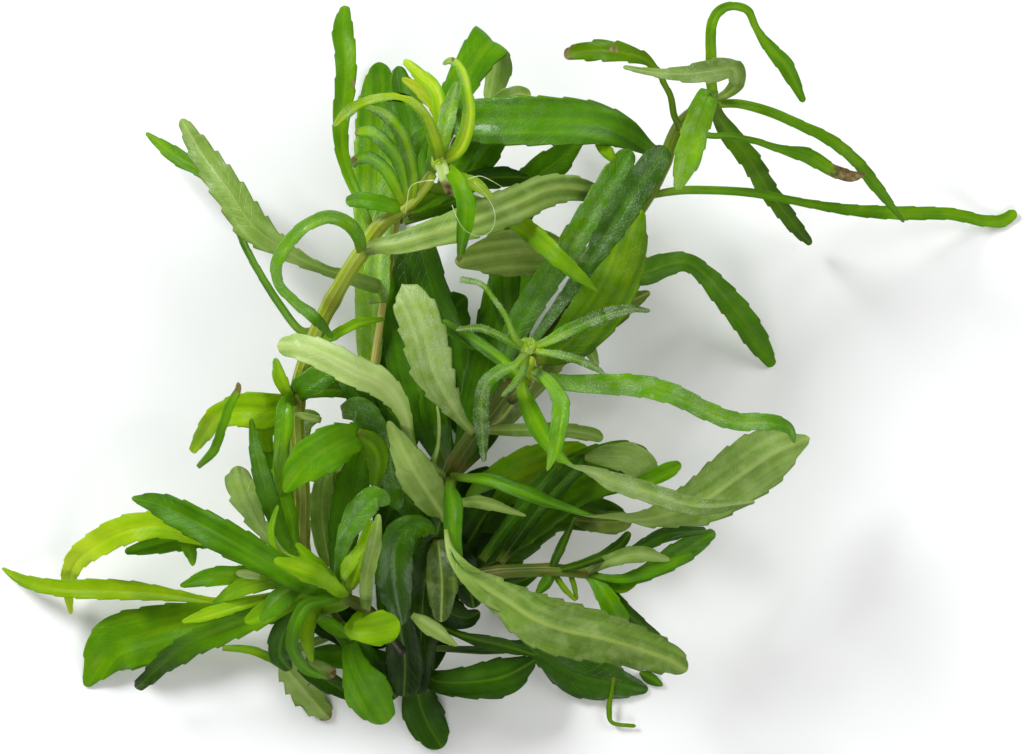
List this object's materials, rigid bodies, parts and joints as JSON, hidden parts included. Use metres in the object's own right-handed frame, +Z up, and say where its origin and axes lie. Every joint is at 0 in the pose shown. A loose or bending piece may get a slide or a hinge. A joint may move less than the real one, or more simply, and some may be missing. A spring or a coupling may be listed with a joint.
{
  "type": "pogostemon quadrifolius",
  "caption": "Cut bunch of an aquatic stem plant lying on a surface: narrow toothed leaves in whorls on branching stems, with a young crown and a rosette.",
  "frame": {"origin": "centre of the bunch's outer box, on the surface that it lies on", "axes": "+X to the right and +Y to the top of the bunch as seen from above, +Z up from the surface"},
  "size_m": [0.2317, 0.1676, 0.069],
  "materials": {
    "bright_leaf": "satin",
    "mid_leaf": "satin",
    "dark_leaf": "satin",
    "pale_leaf": "matte",
    "olive_leaf": "satin",
    "yellow_leaf": "satin",
    "stem": "satin",
    "tan_stem": "matte"
  },
  "bodies": {
    "root": {"left_stem": "stem", "right_stem": "stem", "back_stem": "tan_stem", "rosette_stem": "stem", "low_left_shoot": "stem", "side_shoot": "stem", "rosette": "bright_leaf", "left_crown": "yellow_leaf", "tall_leaf": "bright_leaf", "slim_far_leaf": "mid_leaf", "broad_far_leaf": "pale_leaf", "loop_leaf": "dark_leaf", "crossing_leaf": "pale_leaf", "broad_back_leaf": "mid_leaf", "narrow_back_leaf": "dark_leaf", "folded_leaf": "bright_leaf", "glossy_cross_leaf": "dark_leaf", "yellow_tip_leaf": "yellow_leaf", "olive_leaf": "olive_leaf", "upper_back_leaf": "dark_leaf", "over_stem_leaf": "bright_leaf", "left_reaching_leaf": "olive_leaf", "hooked_leaf": "pale_leaf", "tall_arch_leaf": "mid_leaf", "upper_drooping_leaf": "mid_leaf", "dark_drooping_leaf": "dark_leaf", "brown_tipped_leaf": "olive_leaf", "longest_leaf": "mid_leaf", "right_arching_leaf": "dark_leaf", "long_dark_leaf": "dark_leaf", "front_dark_leaf": "dark_leaf", "right_back_leaf": "olive_leaf", "right_back_leaf_low": "olive_leaf", "half_turned_leaf": "pale_leaf", "hanging_bright_leaf": "bright_leaf", "dark_right_leaf": "dark_leaf", "bent_pale_leaf": "pale_leaf", "upright_silvery_leaf": "pale_leaf", "bright_ribbed_leaf": "pale_leaf", "big_pale_leaf": "pale_leaf", "broad_tipped_leaf": "pale_leaf", "olive_right_leaf": "olive_leaf", "dark_right_back_leaf": "dark_leaf", "middle_back_leaf": "dark_leaf", "inner_hanging_leaf": "dark_leaf", "yellow_green_arch": "yellow_leaf", "flat_bright_leaf": "bright_leaf", "slim_dark_leaf": "dark_leaf", "speckled_leaf": "pale_leaf", "upper_left_reach": "mid_leaf", "bright_arch": "yellow_leaf", "far_left_reach": "mid_leaf", "broad_low_leaf": "mid_leaf", "twisted_leaf": "dark_leaf", "dead_tipped_leaf": "bright_leaf", "crumpled_leaf": "pale_leaf", "straight_down_leaf": "dark_leaf", "low_right_leaf": "dark_leaf", "bottom_right_leaf": "dark_leaf"}
  },
  "joints": []
}
